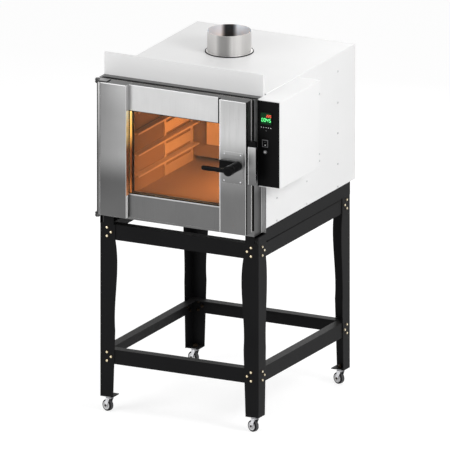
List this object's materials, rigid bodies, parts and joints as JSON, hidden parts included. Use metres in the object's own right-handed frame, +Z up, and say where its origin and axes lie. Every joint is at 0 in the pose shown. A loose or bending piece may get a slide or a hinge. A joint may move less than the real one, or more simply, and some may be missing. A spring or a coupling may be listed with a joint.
{
  "type": "convection oven",
  "caption": "Convection oven with a glazed side-hinged door, lever latch, side control box and flue collar, on an open steel stand with swivel castors.",
  "frame": {"origin": "on the floor, at the middle of the whole object's width and depth", "axes": "front along -Y, control box towards +X, +Z up"},
  "size_m": [0.6908, 0.882, 1.26],
  "materials": {
    "stand_paint": "satin powder coat",
    "fastener_zinc": "yellow zinc",
    "casing_paint": "satin powder coat",
    "steel": "brushed",
    "cavity_steel": "satin",
    "wool": "matt wool",
    "motor": "satin",
    "heater": "heat darkened",
    "glass": "clear",
    "lamp_glass": "frosted",
    "gasket": "matt",
    "screws": "zinc",
    "black_plastic": "matt",
    "panel": "gloss",
    "key_plastic": "matt",
    "fork_steel": "bright zinc",
    "wheel_rubber": "matt"
  },
  "bodies": {
    "oven": {"leg_front_left": "stand_paint", "leg_front_right": "stand_paint", "leg_back_left": "stand_paint", "leg_back_right": "stand_paint", "cross_beams": "stand_paint", "side_beams": "stand_paint", "support_rails": "stand_paint", "stand_bolts": "fastener_zinc", "stand_nuts": "fastener_zinc", "cabinet_shell": "casing_paint", "back_panel": "casing_paint", "base_tray": "casing_paint", "insulation": "wool", "front_frame": "steel", "hood_plate": "steel", "sign_panel": "casing_paint", "cavity_liner": "cavity_steel", "tray_racks": "cavity_steel", "fan_baffle": "cavity_steel", "fan_motor": "motor", "ring_heater": "heater", "cavity_lamp": "lamp_glass", "flue_collar": "steel", "door_gasket": "gasket", "cabinet_screws": "screws", "hinge_brackets": "steel", "latch_keeper": "steel", "door_switch": "black_plastic", "control_box": "casing_paint", "control_panel": "panel", "display_module": "panel", "cable_gland": "black_plastic"},
    "door": {"door_left_stile": "steel", "door_right_stile": "steel", "door_rails": "steel", "door_inner_pan": "steel", "door_glass": "glass", "handle_plate": "steel", "handle_base": "black_plastic", "door_screws": "screws", "hinge_leaves": "steel"},
    "handle": {"handle_lever": "black_plastic"},
    "latch": {"latch_bolt": "steel"},
    "fan": {"fan_wheel": "cavity_steel"},
    "rocker": {"rocker_switch": "black_plastic"},
    "push": {"push_button": "black_plastic"},
    "key_cap_1": {"key_1": "key_plastic"},
    "key_cap_2": {"key_2": "key_plastic"},
    "key_cap_3": {"key_3": "key_plastic"},
    "key_cap_4": {"key_4": "key_plastic"},
    "key_cap_5": {"key_5": "key_plastic"},
    "key_cap_6": {"key_6": "key_plastic"},
    "castor_front_left": {"fork_front_left": "fork_steel"},
    "roller_front_left": {"wheel_front_left": "wheel_rubber"},
    "castor_front_right": {"fork_front_right": "fork_steel"},
    "roller_front_right": {"wheel_front_right": "wheel_rubber"},
    "castor_back_left": {"fork_back_left": "fork_steel"},
    "roller_back_left": {"wheel_back_left": "wheel_rubber"},
    "castor_back_right": {"fork_back_right": "fork_steel"},
    "roller_back_right": {"wheel_back_right": "wheel_rubber"}
  },
  "joints": [
    {"name": "door_hinge", "type": "hinge", "parent": "oven", "child": "door", "pos_m": [-0.3334, -0.34, 0.947], "axis": [0, 0, -1], "range_deg": [0, 115]},
    {"name": "handle_turn", "type": "hinge", "parent": "door", "child": "handle", "pos_m": [0.2095, -0.418, 0.955], "axis": [0, 1, 0], "range_deg": [0, 90]},
    {"name": "latch_slide", "type": "slide", "parent": "door", "child": "latch", "axis": [-1, 0, 0], "range_m": [0, 0.012]},
    {"name": "fan_spin", "type": "hinge", "parent": "oven", "child": "fan", "pos_m": [-0.0414, 0.223, 0.968], "axis": [0, 1, 0], "continuous": true},
    {"name": "rocker_tip", "type": "hinge", "parent": "oven", "child": "rocker", "pos_m": [0.2876, -0.3085, 1.031], "axis": [-1, 0, 0], "range_deg": [0, 16]},
    {"name": "push_travel", "type": "slide", "parent": "oven", "child": "push", "axis": [0, 1, 0], "range_m": [0, 0.002], "stiffness_N_per_m": 400},
    {"name": "key_1_travel", "type": "slide", "parent": "oven", "child": "key_cap_1", "axis": [0, 1, 0], "range_m": [0, 0.0007], "stiffness_N_per_m": 300},
    {"name": "key_2_travel", "type": "slide", "parent": "oven", "child": "key_cap_2", "axis": [0, 1, 0], "range_m": [0, 0.0007], "stiffness_N_per_m": 300},
    {"name": "key_3_travel", "type": "slide", "parent": "oven", "child": "key_cap_3", "axis": [0, 1, 0], "range_m": [0, 0.0007], "stiffness_N_per_m": 300},
    {"name": "key_4_travel", "type": "slide", "parent": "oven", "child": "key_cap_4", "axis": [0, 1, 0], "range_m": [0, 0.0007], "stiffness_N_per_m": 300},
    {"name": "key_5_travel", "type": "slide", "parent": "oven", "child": "key_cap_5", "axis": [0, 1, 0], "range_m": [0, 0.0007], "stiffness_N_per_m": 300},
    {"name": "key_6_travel", "type": "slide", "parent": "oven", "child": "key_cap_6", "axis": [0, 1, 0], "range_m": [0, 0.0007], "stiffness_N_per_m": 300},
    {"name": "swivel_front_left", "type": "hinge", "parent": "oven", "child": "castor_front_left", "pos_m": [-0.3169, -0.2835, 0.05], "axis": [0, 0, 1], "continuous": true},
    {"name": "roll_front_left", "type": "hinge", "parent": "castor_front_left", "child": "roller_front_left", "pos_m": [-0.32446, -0.2809, 0.02], "axis": [0.3256, 0.9455, 0], "continuous": true},
    {"name": "swivel_front_right", "type": "hinge", "parent": "oven", "child": "castor_front_right", "pos_m": [0.2341, -0.2835, 0.05], "axis": [0, 0, 1], "continuous": true},
    {"name": "roll_front_right", "type": "hinge", "parent": "castor_front_right", "child": "roller_front_right", "pos_m": [0.22654, -0.2809, 0.02], "axis": [0.3256, 0.9455, 0], "continuous": true},
    {"name": "swivel_back_left", "type": "hinge", "parent": "oven", "child": "castor_back_left", "pos_m": [-0.3169, 0.3565, 0.05], "axis": [0, 0, 1], "continuous": true},
    {"name": "roll_back_left", "type": "hinge", "parent": "castor_back_left", "child": "roller_back_left", "pos_m": [-0.32446, 0.3591, 0.02], "axis": [0.3256, 0.9455, 0], "continuous": true},
    {"name": "swivel_back_right", "type": "hinge", "parent": "oven", "child": "castor_back_right", "pos_m": [0.2341, 0.3565, 0.05], "axis": [0, 0, 1], "continuous": true},
    {"name": "roll_back_right", "type": "hinge", "parent": "castor_back_right", "child": "roller_back_right", "pos_m": [0.22654, 0.3591, 0.02], "axis": [0.3256, 0.9455, 0], "continuous": true}
  ],
  "couplings": [
    {"joint": "latch_slide", "follows": "handle_turn", "m_per_rad": 0.00763}
  ]
}
